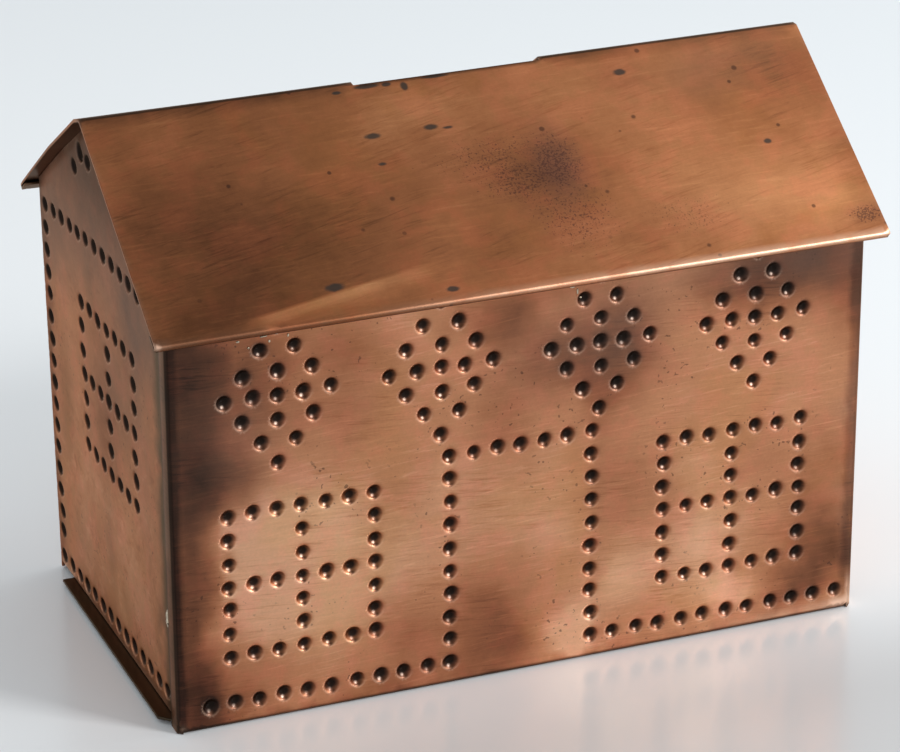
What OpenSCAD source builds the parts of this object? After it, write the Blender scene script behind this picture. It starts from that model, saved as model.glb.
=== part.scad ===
// House-shaped money box of folded and soldered sheet metal.
// Front faces -Y, the slide-out bottom is drawn towards -X, +Z is up.
// The origin is on the standing plane, under the middle of the roof.

/* [Body] */
// Width across the front wall
body_w = 140; // [130:1:180]
// Depth from the front wall to the back of the box
body_d = 77; // [72:1:110]
// Height of the front wall at its outer face
wall_h = 83; // [74:1:120]
// Thickness of the sheet metal
sheet_t = 0.6; // [0.4:0.05:0.8]
// Inside radius of the folded corners
bend_r = 0.5; // [0.3:0.1:1]
// Width of the flanges that lap round the corners
flange_w = 4; // [3:0.25:5]
// Gap in a lapped seam, which the solder fills
seam_gap = 0.1; // [0.05:0.05:0.2]

/* [Roof] */
// Slope of the roof in degrees
roof_pitch = 34; // [30:1:42]
// Inside radius of the fold along the ridge
ridge_r = 0.8; // [0.4:0.1:2]
// How far the roof reaches past the front wall's flanges at each end
gable_overhang = 3; // [2.6:0.1:6]
// How far each eave reaches past its wall
eave_overhang = 4.3; // [4:0.1:8]
// Width of the hem that is folded under each eave
hem_w = 2.4; // [1.8:0.1:2.7]
// Gap inside the folded hem
hem_gap = 0.3; // [0.1:0.05:0.4]

/* [Coin slot] */
// Length of the slot along the ridge
slot_l = 38; // [30:1:60]
// Width of the slot across the ridge
slot_w = 4.6; // [4.3:0.1:7]
// How far the slot reaches down the front slope, from the ridge
slot_front = 0.8; // [0.4:0.1:2]
// Place of the slot's middle along the ridge
slot_x = -0.5; // [-5:0.5:5]

/* [Slide-out bottom] */
// Width of the runner folded inwards along each wall
runner_w = 7; // [6:0.5:10]
// Clearance above and below the sliding plate
slide_gap = 0.25; // [0.15:0.05:0.4]
// Clearance beside the sliding plate
side_gap = 0.4; // [0.3:0.1:0.6]
// How far the lip stands out past the front wall's flange
lip_out = 2; // [1:0.1:2.5]
// Distance from the back of the box to the back end of the lip
lip_back = 9; // [6:0.5:20]
// Corner cut off the front end of the lip
lip_chamfer = 1.8; // [1:0.1:2]

/* [Punch marks] */
// Diameter of a punch mark
mark_d = 3; // [2.4:0.1:3.4]
// Depth of a punch mark
mark_depth = 0.8; // [0.5:0.05:0.9]
// Spacing of the marks on the front and back walls
mark_pitch = 4.8; // [4.5:0.1:5]
// Spacing of the marks on the gables
gable_pitch = 5; // [4.6:0.1:5]
// Height of the border row above the standing plane
border_z = 4.7; // [4.4:0.1:6]
// Number of marks along one side of a window
window_marks = 7; // [5:2:7]
// Number of marks up each side of the door
door_marks = 10; // [7:1:10]
// Number of marks across the top of the door
door_top_marks = 7; // [5:2:7]
// Middle of the front layout, as it was struck a little off centre
layout_x = -0.8; // [-1.5:0.1:1.5]
// Distance from the middle of the layout to each window
window_x = 43.8; // [42:0.2:46]
// Height of the middle of the windows in the front wall
window_z = 28.7; // [28:0.1:32]
// Distance from one lozenge of the frieze to the next
lozenge_step = 32; // [28:1:33]
// Half width of a lozenge
lozenge_half_w = 10.2; // [9:0.2:11]
// Distance from the top row of the windows up to the lowest marks of the frieze
frieze_gap = 9.4; // [8:0.2:11]
// Distance from the top of the front wall down to the highest marks of the frieze
frieze_drop = 3.5; // [3.2:0.1:6]
// Distance from the top of the front wall down to the row across each gable
gable_row_drop = 3.1; // [2.6:0.1:5]
// Distance from the top of the front wall down to the middle of the gable windows
gable_window_drop = 31; // [28:0.5:34]
// Distance from the back of the box to the upright row on each gable
gable_column_in = 3.5; // [3.2:0.1:5]
// Spacing of the marks in the upright row
column_pitch = 4.7; // [4.5:0.1:5.2]
// Sheet left flat between a mark and a fold or a lapped edge
mark_clear = 0.6; // [0.4:0.05:0.8]

/* [Solder] */
// Leg of the solder fillets
solder_leg = 1.4; // [0.8:0.1:1.6]
// Thickness of the solder where it has run down a face
solder_run = 0.45; // [0.3:0.05:0.6]

/* [Hidden] */
$fn = 48;

bend_o = bend_r + sheet_t;
// Outer faces of the gables and of the back wall, inside the flanges that lap them
side_x = body_w / 2 - sheet_t - seam_gap;
back_y = body_d / 2 - sheet_t - seam_gap;
front_y = -body_d / 2;
// Height of the roof's underside above the middle of the box, and of its sharp outer ridge
under_apex_z = wall_h + body_d / 2 * tan(roof_pitch);
apex_z = under_apex_z + sheet_t / cos(roof_pitch);
roof_l = body_w + 2 * gable_overhang;
hem_r = sheet_t + hem_gap / 2;
// Length of one slope, from the sharp ridge to the start of the hem's fold
slope_l = (body_d / 2 + eave_overhang - hem_r + hem_r * sin(roof_pitch)) / cos(roof_pitch);
hem_l = hem_w / cos(roof_pitch);
ridge_o = ridge_r + sheet_t;
// Distance from the middle of the box to the free lower edge of a hem
hem_edge_y = (slope_l - hem_l) * cos(roof_pitch) - 2 * hem_r * sin(roof_pitch);
// How far a fold's section runs into the flat sheet beside it, so that they join
overlap = 0.05;

plate_z = sheet_t + slide_gap;
plate_top_z = plate_z + sheet_t;
gable_lift = plate_top_z + slide_gap;
plate_front_y = front_y + flange_w + side_gap;
plate_back_y = back_y - sheet_t - side_gap;
plate_right_x = side_x - sheet_t - side_gap;
lip_x = -body_w / 2 - lip_out;
lip_back_y = body_d / 2 - lip_back;

// Radius of the round punch that leaves a mark of this width and depth
mark_r = (pow(mark_d / 2, 2) + pow(mark_depth, 2)) / (2 * mark_depth);
mark_edge = mark_d / 2 + mark_clear;
window_half = (window_marks - 1) / 2;
door_half = (door_top_marks - 1) / 2;
frieze_low_z = window_z + window_half * mark_pitch + frieze_gap;
frieze_high_z = wall_h - frieze_drop;
lozenge_z = (frieze_low_z + frieze_high_z) / 2;
lozenge_half = [lozenge_half_w, (frieze_high_z - frieze_low_z) / 2];
gable_row_z = wall_h - gable_row_drop;
gable_window_z = wall_h - gable_window_drop;
gable_column_y = body_d / 2 - gable_column_in;

copper = [0.62, 0.38, 0.27];
bright_copper = [0.66, 0.41, 0.27];
dark_copper = [0.27, 0.18, 0.14];
solder_grey = [0.62, 0.6, 0.56];

// ---- Layout of the punch marks, as [across, up] on a face ----

// A straight row of n marks from a start, a step apart
function mark_row(n, start, step) = [for (i = [0 : n - 1]) start + i * step];

// A square window: its outline and the two glazing bars
function mark_window(centre, pitch) =
    [for (i = [-window_half : window_half]) for (j = [-window_half : window_half])
        if (abs(i) == window_half || abs(j) == window_half || i == 0 || j == 0)
            centre + pitch * [i, j]];

// A door: two uprights and the row across the top
function mark_door(foot) =
    [for (i = [-door_half : door_half]) for (j = [0 : door_marks - 1])
        if (abs(i) == door_half || j == door_marks - 1)
            foot + mark_pitch * [i, j]];

// A lozenge: three steps along each edge, with a small cross in the middle
function mark_lozenge(centre) = concat(
    [for (k = [0 : 11])
        let (side = floor(k / 3), part = (k % 3) / 3, turn = side * 90)
        centre + [
            lozenge_half[0] * (cos(turn) * (1 - part) - sin(turn) * part),
            lozenge_half[1] * (sin(turn) * (1 - part) + cos(turn) * part)
        ]],
    [centre],
    [for (turn = [0 : 90 : 270]) centre + mark_pitch * [cos(turn), sin(turn)]]
);

// The border along the foot of a wall, left open for so many marks each side of its middle
function mark_border(middle, open_marks, reach) =
    let (most = ceil(reach / mark_pitch))
    [for (i = [-most : most])
        if (abs(i) >= open_marks && abs(middle + i * mark_pitch) < reach)
            [middle + i * mark_pitch, border_z]];

function front_marks() = concat(
    mark_window([layout_x - window_x, window_z], mark_pitch),
    mark_window([layout_x + window_x, window_z], mark_pitch),
    mark_door([layout_x, border_z]),
    mark_border(layout_x, door_half + 1, body_w / 2 - bend_o - mark_edge),
    [for (i = [-1.5 : 1.5]) each mark_lozenge([layout_x + i * lozenge_step, lozenge_z])]
);

function back_marks() = concat(
    mark_window([-window_x, window_z], mark_pitch),
    mark_window([window_x, window_z], mark_pitch),
    mark_border(0, 0, side_x - flange_w - mark_edge)
);

// Marks under the peak of a gable, in pairs about its middle: [from the middle, above the row]
peak_pairs = [[3, 17.9], [7.9, 18.3], [12.6, 15.2]];

// The gable's marks are given as [towards the back, up]
function gable_marks() =
    let (n_up = round((gable_row_z - border_z) / column_pitch),
        row_y = gable_column_y - gable_pitch,
        n_across = floor((row_y - front_y - flange_w - mark_edge) / gable_pitch) + 1)
    concat(
        mark_row(n_up + 1, [gable_column_y, border_z], [0, (gable_row_z - border_z) / n_up]),
        mark_row(n_across, [row_y, border_z], [-gable_pitch, 0]),
        mark_row(n_across, [row_y, gable_row_z], [-gable_pitch, 0]),
        mark_window([0, gable_window_z], gable_pitch),
        [for (pair = peak_pairs) for (side = [-1, 1]) [side * pair[0], gable_row_z + pair[1]]]
    );

// ---- Shapes shared by the sheets ----

// Moves a face's own axes, [across, up, outward], to where the face is
module on_front() { translate([0, front_y, 0]) rotate([90, 0, 0]) children(); }
module on_back() { translate([0, back_y, 0]) rotate([90, 0, 0]) mirror([0, 0, 1]) children(); }
module on_right() { translate([side_x, 0, 0]) rotate([90, 0, 90]) children(); }

// Sheet pushed inwards by the punch, with the hollow left out
module mark_bulges(marks) {
    for (m = marks)
        intersection() {
            translate([m[0], m[1], mark_r - mark_depth]) sphere(r = mark_r + sheet_t);
            translate([m[0] - mark_d, m[1] - mark_d, -sheet_t - 2 * mark_depth])
                cube([2 * mark_d, 2 * mark_d, 2 * mark_depth + sheet_t / 2]);
        }
}

// The hollows that the punch leaves in the outer face
module mark_hollows(marks) {
    for (m = marks)
        translate([m[0], m[1], mark_r - mark_depth]) sphere(r = mark_r);
}

// A quarter of a pipe of sheet thickness: the section of a folded corner
module bend_section() {
    intersection() {
        difference() {
            circle(r = bend_o);
            circle(r = bend_r);
        }
        square(bend_o);
    }
}

// A fold along X that joins a wall's face to a flange at the foot
module foot_bend(length) {
    rotate([90, 0, 90]) linear_extrude(height = length, center = true)
        translate([bend_o, bend_o]) rotate(180) bend_section();
}

// An upright fold, with its centre at the origin, that covers the quarter from X to Y
module corner_bend(low, high) {
    translate([0, 0, low]) linear_extrude(height = high - low) bend_section();
}

// Everything that lies below the roof's underside by a given gap, from end to end
module under_roof(gap) {
    reach = body_d;
    top = under_apex_z - gap / cos(roof_pitch);
    rotate([90, 0, 90]) linear_extrude(height = 2 * body_w, center = true)
        polygon([
            [-reach, -1], [reach, -1], [reach, top - reach * tan(roof_pitch)],
            [0, top], [-reach, top - reach * tan(roof_pitch)]
        ]);
}

// ---- The sheets ----

// Front: lapped round both corners, with a runner for the bottom along its foot
module front_sheet() {
    straight_w = body_w - 2 * bend_o;
    translate([-straight_w / 2, front_y, bend_o]) cube([straight_w, sheet_t, apex_z]);
    translate([0, front_y, 0]) foot_bend(2 * side_x);
    translate([-side_x, front_y + bend_o, 0]) cube([2 * side_x, runner_w - bend_o, sheet_t]);
    for (side = [0, 1])
        mirror([side, 0, 0]) {
            translate([body_w / 2 - bend_o, front_y + bend_o, 0]) rotate(-90)
                corner_bend(0, apex_z);
            translate([body_w / 2 - sheet_t, front_y + bend_o, 0])
                cube([sheet_t, flange_w - bend_o, apex_z]);
        }
}

module front_wall() {
    color(copper)
        difference() {
            union() {
                intersection() {
                    front_sheet();
                    under_roof(seam_gap);
                }
                on_front() mark_bulges(front_marks());
            }
            on_front() mark_hollows(front_marks());
        }
}

// Back: a flat panel behind the gables' flanges, with the second runner
module back_sheet() {
    half_w = side_x - bend_o;
    translate([-half_w, back_y - sheet_t, bend_o]) cube([2 * half_w, sheet_t, apex_z]);
    mirror([0, 1, 0]) translate([0, -back_y, 0]) foot_bend(2 * half_w);
    translate([-half_w, back_y - runner_w, 0]) cube([2 * half_w, runner_w - bend_o, sheet_t]);
}

module back_wall() {
    color(copper)
        difference() {
            union() {
                intersection() {
                    back_sheet();
                    under_roof(seam_gap);
                }
                on_back() mark_bulges(back_marks());
            }
            on_back() mark_hollows(back_marks());
        }
}

// A gable at the +X end, from a given foot height, lapped round the back corner
module gable_sheet(foot) {
    front_edge = front_y + bend_o;
    translate([side_x - sheet_t, front_edge, foot])
        cube([sheet_t, body_d / 2 - bend_o - front_edge, apex_z]);
    translate([side_x - bend_o, body_d / 2 - bend_o, 0]) corner_bend(foot, apex_z);
    translate([side_x - flange_w, body_d / 2 - sheet_t, foot])
        cube([flange_w - bend_o, sheet_t, apex_z]);
}

// Trims a gable below the roof and off the fold inside the ridge
module gable_trim() {
    intersection() {
        children();
        under_roof(seam_gap);
        translate([-body_w, -body_d, 0])
            cube([2 * body_w, 2 * body_d, under_apex_z - ridge_r - seam_gap]);
    }
}

module gable(foot) {
    difference() {
        union() {
            gable_trim() gable_sheet(foot);
            on_right() mark_bulges(gable_marks());
        }
        on_right() mark_hollows(gable_marks());
    }
}

// The left gable stops above the sliding plate
module left_gable() {
    color(copper) mirror([1, 0, 0]) gable(gable_lift);
}

// The right gable runs down to the foot, where its flange stops and carries the plate
module right_gable() {
    flange_front = front_y + runner_w + side_gap;
    flange_back = back_y - runner_w - side_gap;
    color(copper) {
        gable(bend_o);
        translate([side_x, (flange_front + flange_back) / 2, 0]) rotate(90)
            foot_bend(flange_back - flange_front);
        translate([side_x - runner_w, flange_front, 0])
            cube([runner_w - bend_o, flange_back - flange_front, sheet_t]);
    }
}

// ---- The roof ----

// Section of one slope: the sheet, the fold at the eave and the hem under it
module slope_section() {
    translate([0, apex_z]) rotate(-roof_pitch) {
        translate([ridge_o * tan(roof_pitch), -sheet_t])
            square([slope_l - ridge_o * tan(roof_pitch), sheet_t]);
        translate([slope_l, -hem_r]) intersection() {
            difference() {
                circle(r = hem_r);
                circle(r = hem_gap / 2);
            }
            translate([-overlap, -hem_r]) square([hem_r + overlap, 2 * hem_r]);
        }
        translate([slope_l - hem_l, -2 * hem_r]) square([hem_l, sheet_t]);
    }
}

// Section of the rounded fold that joins the two slopes
module ridge_section() {
    fold_half = roof_pitch + 1;
    translate([0, apex_z - ridge_o / cos(roof_pitch)]) intersection() {
        difference() {
            circle(r = ridge_o);
            circle(r = ridge_r);
        }
        polygon([
            [0, 0],
            2 * ridge_o * [sin(fold_half), cos(fold_half)],
            2 * ridge_o * [-sin(fold_half), cos(fold_half)]
        ]);
    }
}

module roof() {
    color(bright_copper)
        difference() {
            rotate([90, 0, 90]) linear_extrude(height = roof_l, center = true) {
                ridge_section();
                slope_section();
                mirror([1, 0]) slope_section();
            }
            translate([slot_x - slot_l / 2, -slot_front, apex_z - 3 * slot_w])
                cube([slot_l, slot_w, 4 * slot_w]);
        }
}

// ---- The sliding bottom ----

module bottom_plate() {
    inner_x = -side_x + sheet_t;
    color(dark_copper)
        translate([0, 0, plate_z]) linear_extrude(height = sheet_t)
            polygon([
                [plate_right_x, plate_front_y],
                [plate_right_x, plate_back_y],
                [inner_x, plate_back_y],
                [inner_x, lip_back_y],
                [lip_x, lip_back_y],
                [lip_x, plate_front_y + lip_chamfer],
                [lip_x + lip_chamfer, plate_front_y]
            ]);
}

// ---- Solder ----

// Heights of the drops of solder that show at the edge of a lapped seam: [middle, length]
seam_drops = [[21, 8], [47, 4], [64, 4]];

// Solder in a lapped seam: a film under the flange, and drops along its edge.
// Across is measured from the corner, up is Z and the lapped face looks along +Y.
module seam_solder() {
    film_w = flange_w - bend_o;
    translate([bend_o, 0, 2 * bend_o])
        cube([film_w, seam_gap, wall_h - 4 * bend_o]);
    for (drop = seam_drops)
        translate([bend_o + film_w, 0, drop[0] - drop[1] / 2])
            intersection() {
                cylinder(r = sheet_t + seam_gap, h = drop[1]);
                cube([sheet_t * 2, sheet_t * 2, drop[1]]);
            }
}

module solder_front_left() {
    color(solder_grey)
        translate([-side_x, front_y, 0]) rotate(90) seam_solder();
}

module solder_front_right() {
    color(solder_grey) mirror([1, 0, 0])
        translate([-side_x, front_y, 0]) rotate(90) seam_solder();
}

module solder_back_left() {
    color(solder_grey) translate([-side_x, back_y, 0]) seam_solder();
}

module solder_back_right() {
    color(solder_grey) mirror([1, 0, 0])
        translate([-side_x, back_y, 0]) seam_solder();
}

// Solder that has run down a wall from under an eave: [middle, width, length from the roof]
eave_runs = [[-52.5, 13, 6.5], [12, 2.6, 6.4], [53, 3, 4.6]];

// A fillet under the roof along a wall's outer face at +Y, clear of the hem, with its runs
module eave_solder(face_y, half_l) {
    fillet_w = hem_edge_y - face_y - seam_gap;
    fillet_h = 3 * solder_leg;
    top = under_apex_z - face_y * tan(roof_pitch);
    intersection() {
        under_roof(0);
        translate([0, face_y, top]) union() {
            rotate([90, 0, 90]) linear_extrude(height = 2 * half_l, center = true)
                polygon([[0, -fillet_h], [fillet_w, -solder_leg], [fillet_w, 0], [0, 0]]);
            for (run = eave_runs)
                translate([run[0] - run[1] / 2, 0, -run[2]])
                    cube([run[1], min(solder_run, fillet_w), run[2]]);
        }
    }
}

module solder_front_eave() {
    color(solder_grey) mirror([0, 1, 0]) eave_solder(body_d / 2, body_w / 2 - bend_o);
}

module solder_back_eave() {
    color(solder_grey) eave_solder(back_y, side_x - flange_w - seam_gap);
}

// Solder inside a gable at the +X end, along both slopes
module gable_solder() {
    run_l = body_d / 2 / cos(roof_pitch) - 6 * solder_leg;
    for (side = [0, 1])
        mirror([0, side, 0])
            translate([side_x - sheet_t, 0, under_apex_z]) rotate([-roof_pitch, 0, 0])
                translate([0, 3 * solder_leg, 0]) rotate([-90, 0, 0])
                    linear_extrude(height = run_l)
                        polygon([[0, 0], [-solder_leg, 0], [0, solder_leg]]);
}

module solder_left_gable() {
    color(solder_grey) mirror([1, 0, 0]) gable_solder();
}

module solder_right_gable() {
    color(solder_grey) gable_solder();
}

front_wall();
back_wall();
left_gable();
right_gable();
roof();
bottom_plate();
solder_front_left();
solder_front_right();
solder_back_left();
solder_back_right();
solder_front_eave();
solder_back_eave();
solder_left_gable();
solder_right_gable();
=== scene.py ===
"""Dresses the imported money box: folded copper sheets with punched marks, seams with solder, plain studio."""
import functools
import math
import random

import bmesh
import bpy
import numpy as np
from mathutils import Matrix, Vector, kdtree, noise
from mathutils.geometry import delaunay_2d_cdt

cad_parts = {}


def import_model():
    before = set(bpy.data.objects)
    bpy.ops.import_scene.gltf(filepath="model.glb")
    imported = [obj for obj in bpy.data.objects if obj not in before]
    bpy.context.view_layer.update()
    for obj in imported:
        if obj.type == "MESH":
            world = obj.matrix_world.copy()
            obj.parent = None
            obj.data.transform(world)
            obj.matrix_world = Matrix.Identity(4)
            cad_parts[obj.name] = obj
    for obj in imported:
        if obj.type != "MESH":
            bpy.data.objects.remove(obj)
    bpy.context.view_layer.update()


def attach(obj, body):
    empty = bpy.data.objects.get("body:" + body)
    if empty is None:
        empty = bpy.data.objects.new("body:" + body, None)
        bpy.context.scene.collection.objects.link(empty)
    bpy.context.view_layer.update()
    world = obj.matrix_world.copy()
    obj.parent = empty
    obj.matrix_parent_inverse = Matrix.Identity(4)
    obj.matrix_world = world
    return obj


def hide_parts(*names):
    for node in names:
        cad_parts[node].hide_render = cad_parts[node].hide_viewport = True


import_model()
MM = 0.001


def add_object(name, data):
    obj = bpy.data.objects.new(name, data)
    bpy.context.scene.collection.objects.link(obj)
    return obj


# ---- Camera first: the photograph's viewing angle ----
AZ, EL, ROLL = math.radians(-21.6176), math.radians(23.7056), math.radians(-0.279)
DIST, SHIFT_X, SHIFT_Y = 795.43, -0.17, 42.05  # mm back from the origin, to the right and up
FOCAL_PX, WIDTH_PX, SENSOR = 3967.7, 900, 36


def make_camera():
    back = Vector((math.sin(AZ) * math.cos(EL), -math.cos(AZ) * math.cos(EL), math.sin(EL)))
    level = Vector((math.cos(AZ), math.sin(AZ), 0))
    upright = back.cross(level)
    right = level * math.cos(ROLL) + upright * math.sin(ROLL)
    up = upright * math.cos(ROLL) - level * math.sin(ROLL)
    cam = add_object("camera", bpy.data.cameras.new("camera"))
    turn = Matrix((right, up, back)).transposed().to_4x4()
    cam.matrix_world = Matrix.Translation((back * DIST + right * SHIFT_X + up * SHIFT_Y) * MM) @ turn
    cam.data.sensor_width = SENSOR
    cam.data.lens = FOCAL_PX / WIDTH_PX * SENSOR
    cam.data.clip_start, cam.data.clip_end = 0.05, 20
    bpy.context.scene.camera = cam


make_camera()

# ---- Sizes of the sheets in mm, as the part has them ----
W, D, H, T = 140.0, 77.0, 83.0, 0.6
BO = 1.1  # outer radius of a folded corner
ARC = BO * math.pi / 2
BEND_X, BEND_Y = W / 2 - BO, D / 2 - BO  # the front wall's and the gables' corners start here
FLANGE = 4.0
LAP = 0.7  # from a flange's outer face to that of the sheet it laps onto
SIDE = W / 2 - LAP  # outer face of a gable
BACK = D / 2 - LAP  # outer face of the back wall
RUN = 7.0  # how far a foot reaches in under its wall
FOOT = BO - ARC - (RUN - BO)  # the foot's edge on the flat sheet
TILT = math.radians(34)
SIN, COS, TAN = math.sin(TILT), math.cos(TILT), math.tan(TILT)
UNDER = H + D / 2 * TAN  # under the ridge
APEX = UNDER + T / COS
TOP = UNDER - 0.1 / COS  # the walls stop here, measured at the middle
ROOF_X = 73.0
RO = 1.4  # outer radius of the ridge
HR = 0.75  # outer radius of the hem's fold
OVERHANG, HEM_WIDTH = 4.3, 2.4
RIDGE_ARC = RO * TILT
SLOPE = (D / 2 + OVERHANG - HR + HR * SIN) / COS - RO * TAN
EAVE_V = RIDGE_ARC + SLOPE  # the hem's fold starts here, from the ridge along the sheet
HEM = HEM_WIDTH / COS
ROOF_V = EAVE_V + HR * math.pi + HEM
SLOT_X = (-19.5, 18.5)
SLOT_Y = (-0.8, 3.8)
PLATE_Z, CLEAR = 0.85, 0.4  # under the sliding plate, and beside it
MARK_R, MARK_DEPTH = 1.5, 0.8
PUNCH = (MARK_R ** 2 + MARK_DEPTH ** 2) / (2 * MARK_DEPTH)  # radius of the punch
PITCH, GPITCH = 4.8, 5.0
FOOT_ROW, TOP_ROW, ROW_RISE = 4.7, 79.9, 75.2
WINDOW_X, WINDOW_Z = 43.8, 28.7
ROUND = 0.09  # how far a cut edge is rounded
EDGE_STEP = 1.6  # points along an edge or a fold are at most this far apart
QUARTER = np.linspace(0, math.pi / 2, 6)  # where a fold has its lines


# ---- The punch marks, as the part lays them out ----
def window(cu, cv, pitch):
    return [(cu + i * pitch, cv + j * pitch) for i in range(-3, 4) for j in range(-3, 4)
            if abs(i) == 3 or abs(j) == 3 or i == 0 or j == 0]


def windows(mid):
    return window(mid - WINDOW_X, WINDOW_Z, PITCH) + window(mid + WINDOW_X, WINDOW_Z, PITCH)


def lozenge(cu, cv, half_w=10.2, half_h=13.5):
    out = [(cu, cv)]
    for k in range(12):
        turn, part = math.radians(k // 3 * 90), k % 3 / 3
        out.append((cu + half_w * (math.cos(turn) * (1 - part) - math.sin(turn) * part),
                    cv + half_h * (math.sin(turn) * (1 - part) + math.cos(turn) * part)))
    return out + [(cu + PITCH, cv), (cu - PITCH, cv), (cu, cv + PITCH), (cu, cv - PITCH)]


def front_marks():
    mid = -0.8
    marks = windows(mid)
    marks += [(mid + i * PITCH, FOOT_ROW + j * PITCH) for i in range(-3, 4) for j in range(10)
              if abs(i) == 3 or j == 9]
    marks += [(mid + i * PITCH, FOOT_ROW) for i in range(-13, 15) if abs(i) > 3]
    for k in (-1.5, -0.5, 0.5, 1.5):
        marks += lozenge(mid + k * 32, 66)
    return marks


def back_marks():
    return windows(0) + [(i * PITCH, FOOT_ROW) for i in range(-13, 14)]


def gable_marks():
    marks = [(35, FOOT_ROW + ROW_RISE / 16 * k) for k in range(17)]
    marks += [(30 - GPITCH * k, z) for z in (FOOT_ROW, TOP_ROW) for k in range(13)]
    marks += window(0, 52, GPITCH)
    return marks + [(s * y, TOP_ROW + z) for y, z in ((3, 17.9), (7.9, 18.3), (12.6, 15.2)) for s in (-1, 1)]


def left_marks():
    """The marks of the left gable as they were struck: its rows wander more than those of the other sheets."""
    out = []
    for y, z in gable_marks():
        if abs(z - TOP_ROW) < 0.1:
            z += 2.1 * math.sin(math.pi * unit((35 - y) / 80))
        elif abs(z - FOOT_ROW) < 0.1:
            z += -0.9 + 0.022 * (35 - y)
        elif z > 90:
            y, z = y * 0.86 + 2.1 + (2.0 if y > 0 else 0), z + (0.4 if abs(y) < 11 else -0.7)
        out.append((y, z))
    return out


RNG = random.Random(7)


class Mark:
    """One struck mark: never quite round, nor quite on its line."""

    def __init__(self, u, v, wide):
        self.u, self.v = u + RNG.uniform(-0.2, 0.2), v + RNG.uniform(-0.2, 0.2)
        self.size, self.wide = RNG.uniform(0.95, 1.06), wide
        self.depth = RNG.uniform(0.88, 1.08)
        self.oval, self.turn = RNG.uniform(0.0, 0.045), RNG.uniform(0, math.pi)
        self.soot, self.wear_and_highlight = RNG.uniform(0.15, 1), RNG.uniform(0.25, 1)

    def stretch(self, a):
        return 1 + self.oval * math.cos(2 * (a - self.turn))

    def reach(self, u, v):
        """Distance from the middle, in units where the rim is MARK_R."""
        du, dv = (u - self.u) / self.wide, v - self.v
        return math.hypot(du, dv) / self.size * self.stretch(math.atan2(dv, du))

    def ring(self, r, n, k):
        for j in range(n):
            a = 2 * math.pi * (j + 0.5 * (k % 2)) / n
            rr = r * self.size / self.stretch(a)
            yield self.u + rr * math.cos(a) * self.wide, self.v + rr * math.sin(a)

    def tones(self, u, v):
        """How far a point is in the dent, in the smudge about it and on its rubbed rim, which is lit on the lower left
        as a painted highlight, how strong the dent's painted glint is, and where it is in the dent.
        """
        r = self.reach(u, v)
        a = math.atan2(v - self.v, u - self.u)
        pit = 1 / (1 + math.exp(max(-60, min(60, (r - 1.36) / 0.11))))
        soot = self.soot * math.exp(-(max(r - 1.25, 0) / 0.6) ** 2) * (0.6 + 0.4 * math.sin(a - 0.6))
        # a rubbed rim, brightest on the lower left: wear with a painted highlight
        rim = (0.35 + 0.65 * self.wear_and_highlight) * math.exp(-((r - 1.68) / 0.16) ** 2) * (0.5 + 0.5 * math.cos(a + 2.2))
        # how strong the dent's painted glint is
        painted_glint_share = 0.15 + 0.85 * self.wear_and_highlight ** 2
        return pit, soot, rim, painted_glint_share, (u - self.u) / self.wide / self.size, (v - self.v) / self.size

    def height(self, u, v):
        """Height of the struck sheet: a round dent with a soft shoulder and a shallow hollow about it."""
        r = self.reach(u, v)
        if r > 4.2:
            return 0.0
        turn, soft = 1.42, 0.085
        deep = math.sqrt(PUNCH ** 2 - min(r, turn) ** 2)
        z = PUNCH - deep + max(r - turn, 0) * turn / deep - (MARK_DEPTH + 0.06) * self.depth
        z = -soft * math.log1p(math.exp(min(-z / soft, 60)))
        return z - 0.06 * math.exp(-(max(r - 1.2, 0) / 1.1) ** 2)


def struck(places, wide=1.0):
    return [Mark(u, v, wide) for u, v in places]


# rings of points about a mark: radius and number, on the outer skin and on the inner one
RINGS = ((0.35, 8), (0.68, 12), (0.95, 16), (1.15, 20), (1.3, 22), (1.4, 24), (1.5, 24), (1.6, 24), (1.74, 22),
         (1.95, 18), (2.3, 14))
COARSE_RINGS = ((0.6, 6), (1.05, 9), (1.4, 12), (1.8, 12))


# ---- Sheets made flat, then folded ----
def unit(x):
    return min(1, max(0, x))


def sides(loop):
    return zip(loop, loop[1:] + loop[:1])


def along_edges(corners, step):
    points = []
    for a, b in sides(corners):
        n = max(1, math.ceil(math.hypot(b[0] - a[0], b[1] - a[1]) / step))
        points += [(a[0] + (b[0] - a[0]) * i / n, a[1] + (b[1] - a[1]) * i / n) for i in range(n)]
    return points


def inside(polygon, u, v):
    hit = False
    for (ax, ay), (bx, by) in sides(polygon):
        if (ay > v) != (by > v) and u < (bx - ax) * (v - ay) / (by - ay) + ax:
            hit = not hit
    return hit


def edge_distance(loops, u, v):
    best = 1e9
    for loop in loops:
        for (ax, ay), (bx, by) in sides(loop):
            dx, dy = bx - ax, by - ay
            t = unit(((u - ax) * dx + (v - ay) * dy) / (dx * dx + dy * dy))
            best = min(best, math.hypot(u - ax - t * dx, v - ay - t * dy))
    return best


def tree_of(points):
    """A search tree with one more point far off, so that it is never empty."""
    tree = kdtree.KDTree(len(points) + 1)
    for i, (u, v) in enumerate([*points, (1e4, 1e4)]):
        tree.insert((u, v, 0), i)
    tree.balance()
    return tree


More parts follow.
